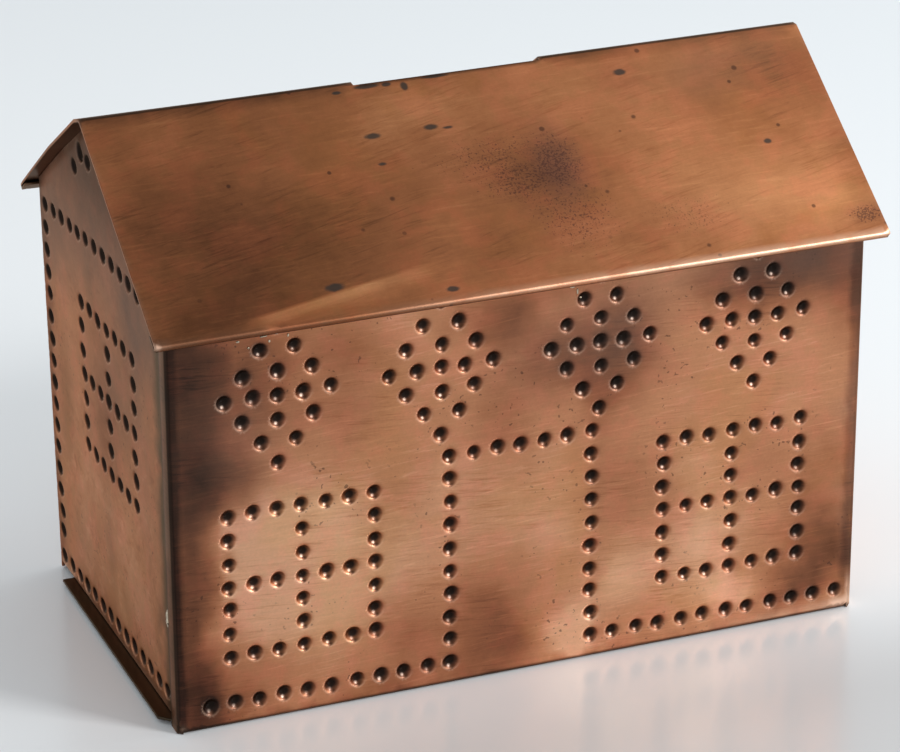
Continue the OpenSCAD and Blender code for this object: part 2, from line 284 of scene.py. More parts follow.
def skin(loops, marks, taken, rings, grid, lines):
    """Flat triangles over an outline: its own points first, then the rings of marks, the fold lines and a grid."""
    corners, *holes = loops
    points, edges, rims = [], [], []
    for loop in loops:
        pts, n0 = along_edges(loop, EDGE_STEP), len(points)
        points += pts
        rims.append(range(n0, n0 + len(pts)))
        edges += [(n0 + i, n0 + (i + 1) % len(pts)) for i in range(len(pts))]
    widest = rings[-1][0]

    def on_sheet(u, v):
        return inside(corners, u, v) and not any(inside(h, u, v) for h in holes)

    def free(u, v, clear):
        return on_sheet(u, v) and edge_distance(loops, u, v) > clear

    for i, m in enumerate(marks):
        points.append((m.u, m.v))
        for k, (r, n) in enumerate(rings):
            for u, v in m.ring(r, n, k):
                others = [x for _, x, _ in taken.find_range((u, v, 0), r * 1.4) if x != i]
                if not any(marks[x].reach(u, v) < r * 0.98 for x in others) and (r < 1.5 or free(u, v, 0.3)):
                    points.append((u, v))
    n_marks = len(points)
    for loop in loops:
        for step, apart in ((0.4, 1.2), (0.95, 1.4)):
            pts = along_edges(loop, apart)
            for (pu, pv), m in zip(pts, inward(pts)):
                u, v = pu + m[0] * step, pv + m[1] * step
                if free(u, v, step * 0.8) and taken.find((u, v, 0))[2] > widest * 1.1:
                    points.append((u, v))
    points += [(u, v) for u, v in lines if taken.find((u, v, 0))[2] > widest * 0.9 and free(u, v, 0.25)]
    laid = tree_of(points[n_marks:])
    clear = widest + 0.5 * grid if marks else 0
    us, vs = zip(*corners)
    for j in range(1, int((max(vs) - min(vs)) / grid) + 1):
        for i in range(1, int((max(us) - min(us)) / grid) + 1):
            u, v = min(us) + (i + 0.5 * (j % 2)) * grid, min(vs) + j * grid
            if (taken.find((u, v, 0))[2] >= clear and laid.find((u, v, 0))[2] > grid * 0.55
                    and free(u, v, grid * 0.4)):
                points.append((u, v))
    pos, _, tris, origin, _, _ = delaunay_2d_cdt([Vector(p) for p in points], edges, [], 0, 1e-5)
    back = {}
    for new, olds in enumerate(origin):
        for old in olds:
            back.setdefault(old, new)
    faces = [tuple(t) for t in tris if on_sheet(sum(pos[i][0] for i in t) / 3, sum(pos[i][1] for i in t) / 3)]
    return [tuple(p) for p in pos], faces, [[back[i] for i in rim] for rim in rims]


def inward(loop):
    """The direction into the sheet at each point of an edge that runs anticlockwise about the sheet."""
    out = []
    for a, (b, c) in zip(loop[-1:] + loop, sides(loop)):
        d1 = Vector((b[0] - a[0], b[1] - a[1])).normalized()
        d2 = Vector((c[0] - b[0], c[1] - b[1])).normalized()
        n1, n2 = Vector((-d1[1], d1[0])), Vector((-d2[1], d2[0]))
        m = n1 + n2
        m = m.normalized() if m.length > 0.05 else n1
        out.append(m / max(m.dot(n1), 0.5))
    return out


def sheet(name, corners, place, tone, node, material, marks=(), holes=(), lines=(), grid=2.4,
          wave=lambda u, v: 0.0, body="shell", worn_edge=0.5):
    """A sheet of metal: an outer and an inner skin with a rounded edge between them, folded by place(u, v, h).

    tone(u, v, xyz) gives how much brown patina, grey haze, olive stain, wear and painted highlight, and painted shadow
    and other darkening there is; on some sheets the patina and haze hold painted shade and highlight too.
    """
    outline = [corners, *holes]
    tree = tree_of([(m.u, m.v) for m in marks])

    def height(u, v):
        near = tree.find_range((u, v, 0), 5.6)
        return min([0.0] + [marks[i].height(u, v) for _, i, _ in near]) + wave(u, v)

    uv, heights, kind, faces, rims = [], [], [], [], []
    for side, rings, spacing in ((0, RINGS, grid), (1, COARSE_RINGS, grid * 1.5)):
        pts, tris, loops = skin(outline, marks, tree, rings, spacing, lines)
        base = len(uv)
        for ids in loops:
            for i, into in zip(ids, inward([pts[i] for i in ids])):
                pts[i] = (pts[i][0] + into[0] * ROUND, pts[i][1] + into[1] * ROUND)
        uv += pts
        heights += [height(u, v) - side * T for u, v in pts]
        kind += [side] * len(pts)
        faces += [tuple(base + i for i in (t[::-1] if side else t)) for t in tris]
        rims.append([[base + i for i in ids] for ids in loops])
    n_skin = len(faces)
    for outer, inner in zip(*rims):
        into, rows, n = inward([uv[i] for i in outer]), [outer], len(outer)
        for h in (-ROUND, ROUND - T):
            rows.append(range(len(uv), len(uv) + n))
            for i, m in zip(outer, into):
                u, v = uv[i][0] - m[0] * ROUND, uv[i][1] - m[1] * ROUND
                uv.append((u, v))
                heights.append(h + height(u, v))
                kind.append(2)
        rows.append(inner)
        for a, b in zip(rows, rows[1:]):
            faces += [(a[i], b[i], b[(i + 1) % n], a[(i + 1) % n]) for i in range(n)]
    u, v = np.array(uv).T
    xyz = place(u, v, np.array(heights)) * MM
    probe = place(*(np.array([*np.mean(corners, 0), 0])[:, None] + 0.01 * np.eye(4)[1:]))
    if np.linalg.det(probe[1:] - probe[0]) < 0:
        faces = [f[::-1] for f in faces]
    mesh = bpy.data.meshes.new(name)
    mesh.from_pydata(xyz.tolist(), [], faces)
    mesh.shade_smooth()
    straighten(mesh, n_skin, {i for ring in rims for loop in ring for i in loop})
    tones = np.zeros((6, len(uv)))
    for i, (a, b) in enumerate(uv):
        _, j, far = tree.find((a, b, 0))
        if far < 4:
            tones[:, i] = marks[j].tones(a, b)
    layers = dict(zip(("pit", "soot", "rim", "painted_glint_share", "mark_u", "mark_v"), tones))
    layers["edge"] = worn_edge * np.array([math.exp(-edge_distance(outline, a, b) / 0.3) for a, b in uv])
    layers["inner"] = np.array(kind) == 1
    layers.update(zip(("patina", "haze", "olive", "wear_and_highlight", "shadow_and_darkening"), tone(u, v, xyz / MM)))
    for key, values in layers.items():
        layer = mesh.attributes.new(key, "FLOAT", "POINT")
        layer.data.foreach_set("value", np.asarray(values, np.float32))
    add_piece(name, mesh, body, node, material)


def straighten(mesh, n_skin, border):
    """Lets the sheet's border take its shading from the flat skins, not from the rounded edge."""
    normals = np.zeros(len(mesh.vertices) * 3)
    mesh.vertices.foreach_get("normal", normals)
    normals = normals.reshape(-1, 3)
    total = {i: np.zeros(3) for i in border}
    for face in mesh.polygons[:n_skin]:
        for i in border.intersection(face.vertices):
            total[i] += np.array(face.normal) * face.area
    for i, normal in total.items():
        if np.linalg.norm(normal) > 0:
            normals[i] = normal / np.linalg.norm(normal)
    mesh.normals_split_custom_set_from_vertices(normals.tolist())


def add_piece(name, mesh, body, node, material):
    obj = add_object(name, mesh)
    mesh.materials.append(material)
    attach(obj, body)
    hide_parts(node)


def smooth(x, low, high):
    t = np.clip((x - low) / (high - low), 0, 1)
    return t * t * (3 - 2 * t)


def bell(x, middle, width, power=2):
    return np.exp(-((x - middle) / width) ** power)


def field(u, v, scale, seed):
    """Smooth noise from -1 to 1 over arrays of mm."""
    return np.array([noise.fractal((a / scale, b / scale, seed), 0.8, 2.0, 3) for a, b in zip(u, v)])


# ---- How each sheet folds ----
def bent(past, h):
    """A fold of radius BO, from its middle: how far out and along a point is that is `past` its start."""
    turn = np.clip(past, 0, ARC) / BO
    return (BO + h) * np.cos(turn) - np.maximum(past - ARC, 0), (BO + h) * np.sin(turn)


def on_foot(out, v, h, there=True):
    """How far out and how high a point is, where the sheet is turned in at its foot."""
    foot_out, along = bent(BO - v, h)
    foot = there & (v < BO)
    return np.where(foot, foot_out, out), np.where(foot, BO - along, v)


def place_front(u, v, h):
    a = np.abs(u)
    out, along = bent(a - BEND_X, h)
    out, z = on_foot(out, v, h, a <= BEND_X + 0.02)
    return np.stack([np.sign(u) * (np.minimum(a, BEND_X) + along), -D / 2 + BO - out, z], 1)


def place_back(u, v, h):
    out, z = on_foot(BO + h, v, h)
    return np.stack([u, BACK - BO + out, z], 1)


def splay(u, v, spread=1.4):
    """How far the back edge of the left gable stands out beyond square, most at the top."""
    return spread * np.clip((u + 30) / 68, 0, 1) ** 1.5 * (0.4 + 0.6 * np.clip(v / 80, 0, 1))


def place_gable(sign, foot=None):
    """The right gable has a foot, between two places along it."""
    def place(u, v, h):
        out, along = bent(u - BEND_Y, h)
        y, z = np.minimum(u, BEND_Y) + along, v
        if foot:
            out, z = on_foot(out, v, h, (u >= foot[0] - 0.02) & (u <= foot[1] + 0.02))
        x = SIDE - BO + out
        if sign < 0:
            x = x + splay(u, v)
            top = TOP - np.abs(y) * TAN
            z = z + np.where(u > 0, raised(-x, np.abs(y)), 0) * smooth(v, top - 3, top)
        return np.stack([sign * x, y, z], 1)
    return place


def raised(x, y):
    """How far the back slope of the roof is bent up at its left end."""
    lift = np.interp(on_roof_v(y), (0, 1, 4, 11, 26, 40, 51, 60), (0, 0.15, 0.95, 1.15, 1.65, 1.35, 1.05, 1.0))
    return lift * smooth(-x, 44, 73)


def on_roof_v(y):
    """How far along the sheet a place on the roof is from the ridge."""
    a = np.abs(y)
    return np.sign(y) * np.where(a < RO * SIN, a, RIDGE_ARC + (a - RO * SIN) / COS)


def place_roof(u, v, h):
    side, a = np.where(v < 0, -1.0, 1.0), np.abs(v)
    centre_z = APEX - RO / COS
    turn = np.clip(a / RO, 0, TILT)
    down = np.clip(a - RIDGE_ARC, 0, SLOPE)
    y = (RO + h) * np.sin(turn) + down * COS
    z = centre_z + (RO + h) * np.cos(turn) - down * SIN
    hem_y, hem_z = (RO - HR) * SIN + SLOPE * COS, centre_z + (RO - HR) * COS - SLOPE * SIN
    fold = np.clip((a - EAVE_V) / HR, 0, math.pi)
    back = np.maximum(a - EAVE_V - HR * math.pi, 0)
    hem_y = hem_y + (HR + h) * (SIN * np.cos(fold) + COS * np.sin(fold)) - back * COS
    hem_z = hem_z + (HR + h) * (COS * np.cos(fold) - SIN * np.sin(fold)) + back * SIN
    y, z = np.where(a > EAVE_V, hem_y, y), np.where(a > EAVE_V, hem_z, z)
    return np.stack([u, side * y, z + np.where(v > 0, raised(u, y), 0)], 1)


def place_plate(u, v, h):
    return np.stack([u, v, PLATE_Z + T + h], 1)


def fold_lines(at, low, high, step=EDGE_STEP, upright=True):
    """Points along fold lines at the given places, from low to high."""
    n = int((high - low) / step)
    run = [low + (high - low) * (i + 0.5) / n for i in range(n)]
    return [(a, b) if upright else (b, a) for a in at for b in run]


# ---- Materials ----
class Nodes:
    """Short calls for building the node tree of a material or of the world."""

    def __init__(self, owner):
        owner.use_nodes = True
        self.owner, self.tree = owner, owner.node_tree
        self.shader = self.tree.nodes.get("Principled BSDF") or self.tree.nodes["Background"]
        self.places = self.node("TexCoord").outputs
        self.coord = self.places["Object"]

    def put(self, socket, value):
        if isinstance(value, bpy.types.NodeSocket):
            self.tree.links.new(value, socket)
        elif value is not None:
            socket.default_value = (*value, 1) if socket.type == "RGBA" else value

    def node(self, kind, **settings):
        """A new node: a name with a small first letter is a property's, any other is a socket's."""
        n = self.tree.nodes.new("ShaderNode" + kind)
        for name, value in settings.items():
            if name[0].islower():
                setattr(n, name, value)
            else:
                self.put(n.inputs[name], value)
        return n

    def surface(self, **inputs):
        """Sets or links the shader's own sockets."""
        for name, value in inputs.items():
            self.put(self.shader.inputs[name.replace("_", " ")], value)

    def math(self, how, *values, clamp=False):
        n = self.node("Math", operation=how, use_clamp=clamp)
        for socket, value in zip(n.inputs, values):
            self.put(socket, value)
        return n.outputs[0]

    add = functools.partialmethod(math, "ADD")
    sub = functools.partialmethod(math, "SUBTRACT")
    most = functools.partialmethod(math, "MAXIMUM")
    mad = functools.partialmethod(math, "MULTIPLY_ADD")  # a times b, plus c

    def mul(self, first, *more, clamp=False):
        for value in more:
            first = self.math("MULTIPLY", first, value, clamp=clamp)
        return first

    def mix(self, fac, a, b, how="MIX"):
        n = self.node("Mix", data_type="RGBA", blend_type=how)
        for k, value in ((0, fac), (6, a), (7, b)):
            self.put(n.inputs[k], value)
        return n.outputs[2]

    def tinted(self, colour, by):
        return self.mix(1.0, colour, by, "MULTIPLY")

    def attr(self, name):
        return self.node("Attribute", attribute_name=name).outputs["Fac"]

    def moved(self, *offset):
        return self.node("Mapping", Vector=self.coord, Location=offset).outputs[0]

    def turned(self, scale, axis, degrees):
        """Object coordinates turned about an axis, then scaled: for grain that runs askew."""
        turn = [math.radians(degrees) if a == axis else 0 for a in "XYZ"]
        return self.node("Mapping", vector_type="TEXTURE", Vector=self.coord, Scale=[1 / x for x in scale],
                         Rotation=turn).outputs[0]

    def noise(self, scale, detail=3.0, rough=0.55, distortion=0.0, at=None):
        return self.node("TexNoise", Vector=at or self.coord, Scale=scale, Detail=detail, Roughness=rough,
                         Distortion=distortion).outputs["Fac"]

    def far(self, u, v, at_u, at_v, wide=1.0):
        """Distance of (u, v) from a place, measured shorter along u by the given factor."""
        du, dv = self.math("DIVIDE", self.sub(u, at_u), wide), self.sub(v, at_v)
        return self.math("SQRT", self.add(self.mul(du, du), self.mul(dv, dv)))

    def span(self, value, low, high, out_low=0.0, out_high=1.0):
        n = self.node("MapRange", interpolation_type="SMOOTHSTEP")
        for socket, x in zip(n.inputs, (value, low, high, out_low, out_high)):
            self.put(socket, x)
        return n.outputs[0]

    def bump(self, height, strength, distance, normal=None):
        return self.node("Bump", Height=height, Strength=strength, Distance=distance, Normal=normal).outputs[0]

    def spot(self, at, size, soft=0.35):
        """1 inside an ellipsoid of the given half sizes in mm, with an uneven rim."""
        wobble = self.noise(900, 2)
        n = self.node("Mapping", Vector=self.coord, Scale=[1000 / s for s in size],
                      Location=[-a / s for a, s in zip(at, size)])
        far = self.node("VectorMath", operation="LENGTH", Vector=n.outputs[0]).outputs["Value"]
        return self.span(self.add(far, self.mad(wobble, 0.5, -0.25)), 1 + soft, 1 - soft)


GREY_BROWN = (0.213, 0.138, 0.112)
OLIVE = (0.085, 0.072, 0.046)
BLACK = (0.013, 0.008, 0.006)
DENT_FOOT_SHADE = (0.15, 0.068, 0.042)
WEAR_AND_HIGHLIGHT = (0.88, 0.58, 0.42)
BROWNS = ((0.0, (0.86, 0.475, 0.285)), (1.0, (0.04, 0.018, 0.012)), (0.22, (0.60, 0.27, 0.138)),
          (0.45, (0.40, 0.155, 0.075)), (0.72, (0.17, 0.065, 0.034)))  # from bare copper to black patina


def copper(name, grain, axis, tilt, extra=None, strength=0.55, roughness=0.34, coat=0.12, tint=(0.85, 0.7, 0.6),
           dark=(1.62, 0.56), painted_glint_most=0.32, inner=(0.15, 0.085, 0.062)):
    """Old brushed copper, browned, stained, dented and rubbed as the mesh's attributes say, with the painted
    highlights, glints and shade that they also carry.
    """
    n = Nodes(bpy.data.materials.new(name))

    def brushed(share, more_tilt=0, rough=0.6, distortion=0.0):
        at = n.turned([g * q for g, q in zip(grain, share)], axis, tilt + more_tilt)
        return n.noise(1.0, 3, rough, distortion, at)

    streak, fine = brushed([0.24] * 3), brushed([1] * 3, rough=0.62)
    hair, hair2 = brushed((0.7, 0.85, 0.85), 4, 0.6, 0.6), brushed([0.7] * 3, -6, 0.6, 0.5)
    clump = n.span(n.noise(75, 2, at=n.moved(0.9, 0.1, 0.5)), 0.4, 0.62)
    cloud, cloud2 = n.noise(42, 4, 0.55, 0.4), n.noise(130, 4, 0.62, at=n.moved(0.3, 0.7, 0.2))
    dust = n.noise(1900, 2, 0.5)
    pit, patina, wear_and_highlight = n.attr("pit"), n.attr("patina"), n.attr("wear_and_highlight")
    # how much of the brown skin there is
    uneven = n.mad(n.sub(cloud2, 0.5), 0.26, n.mul(n.sub(streak, 0.5), 0.2 * strength))
    uneven = n.mad(n.sub(cloud, 0.5), 0.2, uneven)
    amount = n.mad(uneven, n.span(patina, 0.0, 0.5, 0.45, 1.0), patina)
    amount = n.mad(n.attr("soot"), 0.30, n.mad(pit, 0.3, amount))
    amount = n.mad(n.mul(n.span(hair, 0.48, 0.76), clump), 0.26 * strength, amount)
    amount = n.mad(n.span(hair2, 0.5, 0.78), -0.16 * strength, amount, clamp=True)
    ramp = n.node("ValToRGB", Fac=amount)
    for k, (at, brown) in enumerate(BROWNS):
        stop = ramp.color_ramp.elements[k] if k < 2 else ramp.color_ramp.elements.new(at)
        stop.position, stop.color = at, (*brown, 1)
    colour = ramp.outputs[0]
    colour = n.mix(n.span(cloud, 0.5, 0.65, 0.0, 0.4), colour, n.tinted(colour, (1.0, 1.03, 0.84)))
    colour = n.mix(n.span(cloud2, 0.55, 0.38, 0.0, 0.8), colour, n.tinted(colour, (1.06, 0.93, 0.98)))
    haze = n.mul(n.attr("haze"), n.mad(uneven, 2.0, 1.0), clamp=True)
    colour = n.mix(haze, colour, n.mix(patina, GREY_BROWN, (0.085, 0.052, 0.038)))
    colour = n.mix(n.mul(n.attr("olive"), n.mad(uneven, 1.2, 1.0), clamp=True), colour, OLIVE)
    shade = n.mul(n.mad(fine, 0.34 * strength, 1 - 0.17 * strength), n.mad(dust, 0.16, 0.92))
    colour = n.tinted(colour, n.node("CombineColor", Red=shade, Green=shade, Blue=shade).outputs[0])
    if extra:
        colour = extra(n, colour)
    # rubbing with painted highlights, then the dents: a black core of dirt and painted shade, a warm painted shade on
    # the dent's lower rim and a painted glint at the lower left, then painted shadow and other darkening
    colour = n.mix(n.mul(n.attr("edge"), n.span(cloud2, 0.35, 0.6, 0.1, 0.75)), colour, WEAR_AND_HIGHLIGHT)
    colour = n.mix(n.mul(wear_and_highlight, n.span(cloud2, 0.3, 0.62, 0.35, 1.0)), colour, WEAR_AND_HIGHLIGHT)
    colour = n.mix(n.mul(n.attr("rim"), 0.34), colour, WEAR_AND_HIGHLIGHT)
    at_u, at_v, dent = n.attr("mark_u"), n.attr("mark_v"), n.span(pit, 0.12, 0.55)
    # dark core: dirt in the hollow and painted shade, set a little up and right of the middle
    core_dirt_and_shade = n.span(n.far(at_u, at_v, 0.03, 0.08), *dark)
    # warm painted shade on the dent's lower rim, which dims the lamp's highlight there
    foot = n.mul(n.span(n.far(at_u, at_v, 0.0, -1.35, 1.7), 0.55, 0.15), n.span(pit, 0.02, 0.1))
    colour = n.mix(n.mul(foot, 0.8), colour, DENT_FOOT_SHADE)
    colour = n.mix(n.mul(core_dirt_and_shade, dent, 0.98), colour, BLACK)
    # painted glint near the dent's lower left
    painted_glint = n.mul(n.span(n.far(at_u, at_v, -0.3, -0.9, 1.2), 0.42, 0.1), n.attr("painted_glint_share"))
    colour = n.mix(n.mul(painted_glint, n.mul(dent, painted_glint_most)), colour, (0.9, 0.68, 0.56))
    colour = n.mix(n.attr("shadow_and_darkening"), colour, BLACK)
    colour = n.mix(n.mul(n.attr("inner"), 0.85), colour, inner)
    rough = n.mad(fine, 0.12, roughness - 0.06)
    for value, share in ((amount, 0.08), (haze, 0.06), (wear_and_highlight, 0.10)):
        rough = n.mad(value, share, rough)
    flat = n.sub(1.0, pit)
    bump = n.bump(n.mul(fine, flat), 0.6, 0.00002)
    n.surface(Base_Color=colour, Roughness=n.mad(pit, 0.03, rough, clamp=True), Metallic=1.0, Coat_Weight=coat,
              Specular_Tint=tint, Coat_Roughness=0.18,
              Normal=n.bump(n.mul(n.noise(170, 3), flat), 0.35, 0.0001, bump))
    return n.owner


def specks(n, colour):
    """A few small dark specks of dirt and tarnish, in loose groups."""
    few = n.mul(n.span(n.noise(1100, 1), 0.69, 0.73), n.span(n.noise(70, 2), 0.46, 0.62))
    return n.mix(n.mul(few, 0.6), colour, (0.07, 0.035, 0.026))


def solder_material():
    n = Nodes(bpy.data.materials.new("solder"))
    cloud = n.noise(500, 3)
    colour = n.mix(n.span(cloud, 0.35, 0.65), (0.52, 0.44, 0.33), (0.82, 0.71, 0.54))
    colour = n.mix(n.span(n.noise(1500, 2), 0.55, 0.7), colour, (0.16, 0.13, 0.1))
    n.surface(Base_Color=colour, Roughness=n.span(cloud, 0.3, 0.7, 0.28, 0.5), Metallic=1.0,
              Normal=n.bump(n.noise(1200, 3), 0.5, 0.00008))
    return n.owner


# ---- What the tones of the sheets are made of ----
def blobs(u, v, spots):
    """The sum of soft spots: (middle u, middle v, half width, half height, strength)."""
    total = np.zeros(len(u))
    for cu, cv, ru, rv, strength in spots:
        total += strength * np.exp(-((u - cu) / ru) ** 2 - ((v - cv) / rv) ** 2)
    return total


def ragged(u, v, seed, by=2.5):
    """The same places moved a little by noise, so that no patch has a smooth outline."""
    return u + by * field(u, v, 7, seed) + by * field(u, v, 19, seed + 4), v + 0.6 * by * field(u, v, 8, seed + 9)


def open_sheet(u, v, half, side=10, top=82, end=6):
    """1 on the open sheet, going to 0 where its sides, foot and top hold it flat."""
    return unit((half - abs(u)) / side) * unit((v - 2) / 8) * unit((top - v) / end)


FOOT_LINES = [BO - BO * a for a in QUARTER]

# ---- Front wall ----
FRONT_PATINA = [
    (-56, 72, 12, 8, 0.3), (-62, 50, 6, 10, 0.42), (-55, 50.5, 5, 5, 0.24), (-52, 63, 7, 6, 0.1),
    (-37, 73, 7, 5, 0.2), (-5, 74, 10, 6, 0.38), (7, 64, 8, 7, 0.34), (19, 68, 7, 9, 0.28), (16, 56, 6, 8, 0.28),
    (-5, 54, 7, 8, 0.2), (44, 74, 9, 6, 0.42), (60, 75, 12, 7, 0.42), (66, 66, 5, 8, 0.25), (64, 15, 7, 6, 0.44),
    (62, 23, 6, 6, 0.2), (-6, 13, 7, 9, 0.36), (-5, 5, 7, 5, 0.2), (-20, 12, 7, 6, 0.24), (20, 37, 8, 10, 0.2),
    (25, 5, 5, 4, 0.02), (55, 8, 6, 5, 0.26), (-62, 8, 9, 7, 0.3), (50, 36, 6, 6, 0.14), (63, 34, 5, 8, 0.16),
    (-37, 60, 8, 8, 0.16), (-50, 34, 9, 12, -0.3), (-46, 37, 14, 10, -0.14), (2, 38, 14, 12, -0.07),
    (-16, 36, 8, 14, -0.06), (-38, 26, 9, 14, -0.2), (-50, 19, 6, 6, -0.1), (-24, 28, 7, 8, -0.12),
    (-38, 20, 9, 8, -0.08), (1, 27, 8, 8, -0.06), (9, 5, 5, 7, -0.38), (20, 17, 7, 7, -0.24), (38, 21, 8, 9, -0.22),
    (44, 9, 7, 4, -0.22), (53, 21, 5, 6, 0.04), (64, 57, 5, 9, -0.02), (-25, 68, 9, 7, 0.02), (37, 37, 6, 6, -0.06),
    (61, 7, 6, 5, 0.26), (-14, 4, 5, 3.5, 0.2), (-28, 3, 10, 3, 0.22), (-61, 35, 3, 7, 0.18), (9, 80, 9, 3.5, 0.22),
    (24, 58, 5, 6, 0.12), (-59, 3, 6, 3.5, 0.16)]
FRONT_HAZE = [
    (68.6, 45, 2.2, 40, 0.4), (7, 66, 12, 8, 0.3), (20, 68, 9, 10, 0.35), (50, 77, 20, 5, 0.45),
    (-57, 56, 9, 13, 0.4), (62, 76, 9, 7, 0.3), (-65, 60, 5, 30, 0.2)]


def front_outline():
    flange = BEND_X + ARC + FLANGE - BO
    rise = [(BEND_X + BO * a, TOP - (BEND_Y + BO * math.cos(a)) * TAN) for a in np.linspace(0, math.pi / 2, 5)]
    tip = (flange, TOP - (D / 2 - FLANGE) * TAN)
    right = [(BEND_X, FOOT), (BEND_X, BO), (BEND_X + 0.06, BO), (BEND_X + 0.06, 0.05), (flange, 0.05), tip]
    right += rise[::-1]
    return right + [(-a, b) for a, b in right[::-1]]


def front_wave(u, v):
    waves = 0.16 * noise.noise((u / 38, v / 30, 1.7)) + 0.05 * noise.noise((u / 11, v / 9, 5.2))
    return open_sheet(u, v, 67) * waves


def front_tone(u, v, xyz):
    right, up = xyz[:, 0], xyz[:, 2]
    x, z = ragged(right, up, 3.3)
    patina = 0.22 + 0.04 * field(x, z, 16, 1.2)
    patina += ((0.48 - 0.08 * bell(z, 52, 14)) * smooth(-x, 57.5, 66)
               + 0.1 * smooth(-x, 40, 60) * smooth(z, 44, 60))
    patina += blobs(x, z, FRONT_PATINA)
    patina += 0.24 * smooth(right + 0.6 * field(u, v * 3, 4, 3.7), 66.4, 68.2) * smooth(up, 2, 10)
    patina += (0.35 * smooth(-u, BEND_X - 1.2, BEND_X + 0.4)
               + 0.3 * smooth(-up + 0.3 * field(u, v, 3, 6.1), -1.3, -0.6))
    fold = smooth(np.abs(u), BEND_X + 0.7, BEND_X + 1.1)
    patina = patina * (1 - fold) + fold * (0.59 + 0.16 * field(v, u, 9, 4.4))
    haze = blobs(x, z, FRONT_HAZE) * (1 - fold) + fold * (0.2 + 0.3 * field(u, v, 6, 8.8))
    # darker along the folds, wider on the left and thin on the right; a painted shadow along the flange's free edge,
    # with its open seam; and a painted contact shadow along the foot
    at_fold, bend = np.abs(u) - BEND_X, 0.2 * field(u, v, 5, 2.9)
    middle, width, most = np.where(u < 0, [[1.15], [0.6], [0.9]], 0.3)
    shadow_and_darkening = np.maximum(bell(at_fold, middle, width, 4) * most,
                       0.85 * smooth(at_fold, ARC + FLANGE - BO - 0.55, ARC + FLANGE - BO - 0.25))
    shadow_and_darkening = np.maximum(shadow_and_darkening, 0.8 * bell(up - 0.35 + bend, 0, 0.4) * (1 - fold))
    wear_and_highlight = blobs(right, up, [(67, 1.4, 2.2, 1.2, 0.8)])
    wear_and_highlight += 0.4 * smooth(right, 28, 60) * bell(up, 1.5, 0.8) + 0.6 * smooth(right, 68.2, 69) * smooth(-up, -9, -4)
    return np.clip(patina, 0, 1), np.clip(haze, 0, 0.8), 0.35 * fold, wear_and_highlight, shadow_and_darkening


front_lines = fold_lines([s * (BEND_X + BO * a) for s in (-1, 1) for a in QUARTER]
                         + [s * (BEND_X - d) for s in (-1, 1) for d in (0.35, 0.75, 1.3, 1.9, 2.6, 3.3)], 0.8, 82.5)
front_lines += fold_lines(FOOT_LINES, 0.5 - BEND_X, BEND_X - 0.5, upright=False)
sheet("front_wall_sheet", front_outline(), place_front, front_tone, "front_wall",
      copper("front_copper", (170, 300, 2700), "Y", 1.5, extra=specks),
      struck(front_marks()), lines=front_lines, wave=front_wave)


# ---- Back wall ----
def back_outline():
    half, top = SIDE - BO, TOP - BACK * TAN
    return [(-half, FOOT), (half, FOOT), (half, top), (-half, top)]


def back_wave(u, v):
    return -open_sheet(u, v, 64) * (0.1 + 0.16 * noise.noise((u / 36, v / 28, 9.7)))


def back_tone(u, v, xyz):
    x, z = xyz[:, 0], xyz[:, 2]
    n1 = field(x, z, 18, 8.1)
    patina = 0.28 + 0.14 * n1 + 0.5 * smooth(np.abs(x) + 3 * n1, 56, 67) + blobs(x, z, [(20, 60, 20, 14, 0.3)])
    return np.clip(patina, 0, 0.9), np.clip(0.12 + 0.25 * field(x, z, 25, 2.2), 0, 0.6), 0 * u, 0 * u, 0 * u


sheet("back_wall_sheet", back_outline(), place_back, back_tone, "back_wall",
      copper("back_copper", (170, 300, 2700), "Y", -2),
      struck(back_marks()), lines=fold_lines(FOOT_LINES, -67.5, 67.5, upright=False), wave=back_wave)

# ---- Gables ----
GABLE_PATINA = [
    (37, 40, 2.5, 60, 0.3), (2, 40, 9, 14, 0.16), (3, 100, 22, 8, 0.2), (24, 30, 8, 20, -0.05),
    (-14, 17, 14, 14, -0.12), (4, 30, 12, 9, -0.14), (4, 22, 9, 7, 0.04), (-4, 16, 12, 8, -0.05)]
GABLE_HAZE = [(-2, 56, 13, 15, 0.45), (-18, 66, 9, 16, 0.4), (-22, 40, 5, 18, 0.2), (28, 60, 4, 20, 0.1)]
GABLE_OLIVE = [(28, 38, 3, 11, 0.25), (2, 22, 3, 8, 0.3), (22, 14, 5, 5, 0.2), (8, 76, 6, 8, 0.2), (-8, 12, 5, 5, 0.1)]


def gable_outline(foot=None):
    """The right gable goes down to the floor, with a foot; the left one ends above the sliding plate."""
    flange = BEND_Y + ARC + FLANGE - BO
    top = UNDER - 0.9
    half_top = (TOP - top) / TAN
    if foot:
        out = [(-BEND_Y, BO), (foot[0], BO), (foot[0], FOOT), (foot[1], FOOT), (foot[1], BO), (flange, BO)]
    else:
        out = [(-BEND_Y, 1.7), (BEND_Y - 0.2, 1.7), (BEND_Y - 0.1, 0.35), (flange, 0.35)]
    out.append((flange, TOP - D / 2 * TAN))
    out += [(BEND_Y + BO * a, TOP - (BEND_Y + BO * math.sin(a)) * TAN) for a in np.linspace(math.pi / 2, 0, 5)]
    return out + [(half_top, top), (-half_top, top), (-BEND_Y, TOP - BEND_Y * TAN)]


def gable_wave(seed):
    def wave(u, v):
        waves = 0.2 * noise.noise((u / 26, v / 30, seed)) + 0.04 * noise.noise((u / 9, v / 9, seed + 4)) - 0.08
        return open_sheet(u, v, 34, 8, 84, 10) * waves
    return wave


